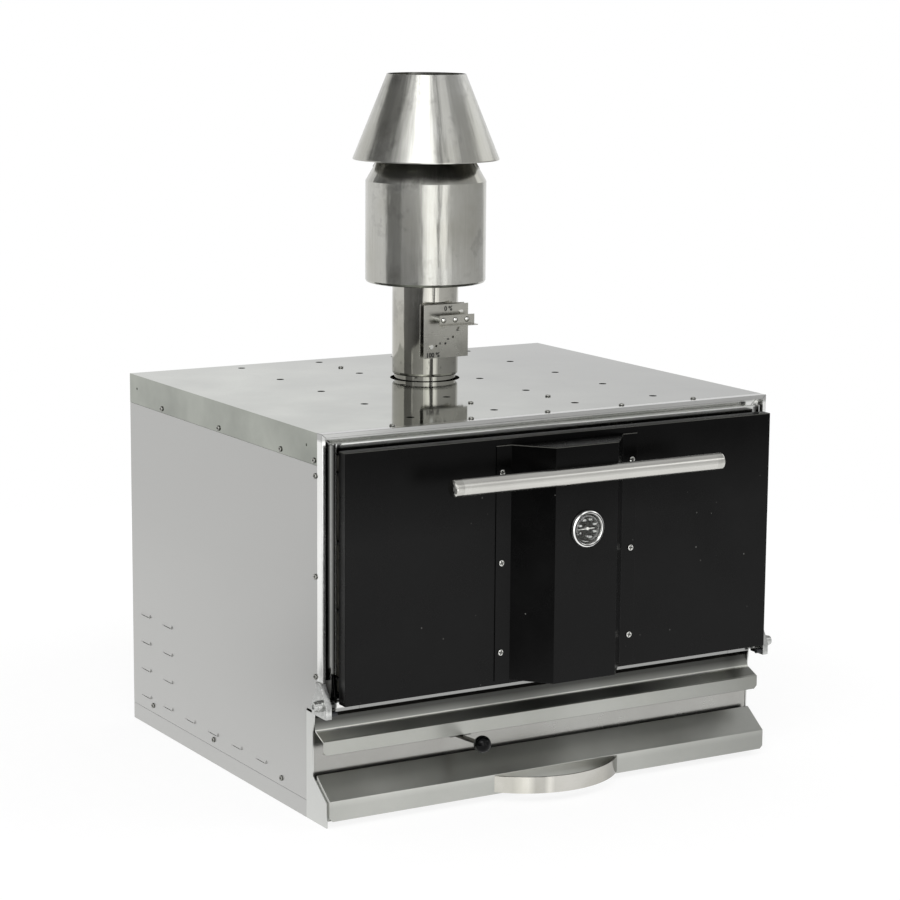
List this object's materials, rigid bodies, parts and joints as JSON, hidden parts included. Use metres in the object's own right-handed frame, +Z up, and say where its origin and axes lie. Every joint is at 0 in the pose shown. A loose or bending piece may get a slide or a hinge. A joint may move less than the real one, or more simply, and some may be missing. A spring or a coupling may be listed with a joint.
{
  "type": "charcoal oven",
  "caption": "Stainless charcoal oven with a drop-down insulated door, cooking racks, ash drawer, sliding air register, damped flue, spark arrester and hat.",
  "frame": {"origin": "on the floor under the middle of the body, half way between the side panels and between the lid's front and back edges", "axes": "+Z up, +X to the right as seen from the front, +Y to the back, away from the door"},
  "size_m": [0.938, 0.893, 1.222],
  "materials": {
    "casing_sheet": "satin stainless sheet",
    "lid_sheet": "bright stainless sheet",
    "frame_steel": "brushed",
    "shelf_steel": "brushed",
    "flue_steel": "brushed round the pipe",
    "fasteners": "plain",
    "hinge_steel": "machined",
    "door_black": "satin black enamel",
    "handle_steel": "drawn tube",
    "bezel_chrome": "polished",
    "gauge_glass": "clear",
    "needle_paint": "matt white",
    "firebox_plate": "heat-blackened steel plate",
    "grate_iron": "as cast",
    "rack_steel": "wire",
    "insulation_wool": "ceramic fibre",
    "seal_rope": "braided glass fibre",
    "knob_plastic": "polished black"
  },
  "bodies": {
    "oven": {"base_tray": "casing_sheet", "left_side_panel": "casing_sheet", "right_side_panel": "casing_sheet", "back_panel": "casing_sheet", "lid": "lid_sheet", "casing_screws": "fasteners", "front_frame": "frame_steel", "door_seal": "seal_rope", "left_hinge_bracket": "hinge_steel", "right_hinge_bracket": "hinge_steel", "stop_pins": "hinge_steel", "hinge_bushes": "hinge_steel", "hinge_bolts": "hinge_steel", "front_shelf": "shelf_steel", "fascia": "casing_sheet", "left_cheek": "casing_sheet", "right_cheek": "casing_sheet", "register_guides": "shelf_steel", "firebox": "firebox_plate", "insulation": "insulation_wool", "fire_grate": "grate_iron", "ash_chute": "firebox_plate", "rack_runners": "firebox_plate", "lower_rack": "rack_steel", "upper_rack": "rack_steel", "drawer_runners": "firebox_plate", "flue_spigot": "flue_steel", "flue_pipe": "flue_steel", "damper_back_plate": "flue_steel", "damper_front_plate": "flue_steel", "damper_spacers": "fasteners", "arrester_floor": "flue_steel", "arrester_drum": "flue_steel", "arrester_shoulder": "flue_steel", "spark_baffle": "firebox_plate", "flue_hat": "flue_steel", "hat_struts": "flue_steel"},
    "damper": {"damper_shaft": "fasteners", "damper_blade": "firebox_plate", "damper_lever": "flue_steel", "lever_rivets": "fasteners"},
    "door": {"door_pan": "door_black", "door_liner": "frame_steel", "door_spacers": "door_black", "door_insulation": "insulation_wool", "door_cover": "door_black", "cover_screws": "fasteners", "handle_tube": "handle_steel", "handle_caps": "handle_steel", "handle_posts": "handle_steel", "thermometer_case": "bezel_chrome", "thermometer_glass": "gauge_glass", "thermometer_probe": "bezel_chrome"},
    "needle": {"thermometer_needle": "needle_paint"},
    "drawer": {"drawer_front": "shelf_steel", "drawer_box": "firebox_plate", "drawer_handle": "shelf_steel"},
    "register": {"register_plate": "shelf_steel", "register_rod": "handle_steel", "register_knob": "knob_plastic"}
  },
  "joints": [
    {"name": "door_hinge", "type": "hinge", "parent": "oven", "child": "door", "pos_m": [0, -0.395, 0.209], "axis": [1, 0, 0], "range_deg": [0, 90]},
    {"name": "drawer_slide", "type": "slide", "parent": "oven", "child": "drawer", "axis": [0, -1, 0], "range_m": [0, 0.43]},
    {"name": "register_slide", "type": "slide", "parent": "oven", "child": "register", "axis": [1, 0, 0], "range_m": [0, 0.03]},
    {"name": "damper_turn", "type": "hinge", "parent": "oven", "child": "damper", "pos_m": [-0.0085, 0.074, 0.782], "axis": [0, 1, 0], "range_deg": [0, 90]},
    {"name": "needle_turn", "type": "hinge", "parent": "door", "child": "needle", "pos_m": [0, -0.498, 0.482], "axis": [0, 1, 0], "range_deg": [0, 250]}
  ]
}
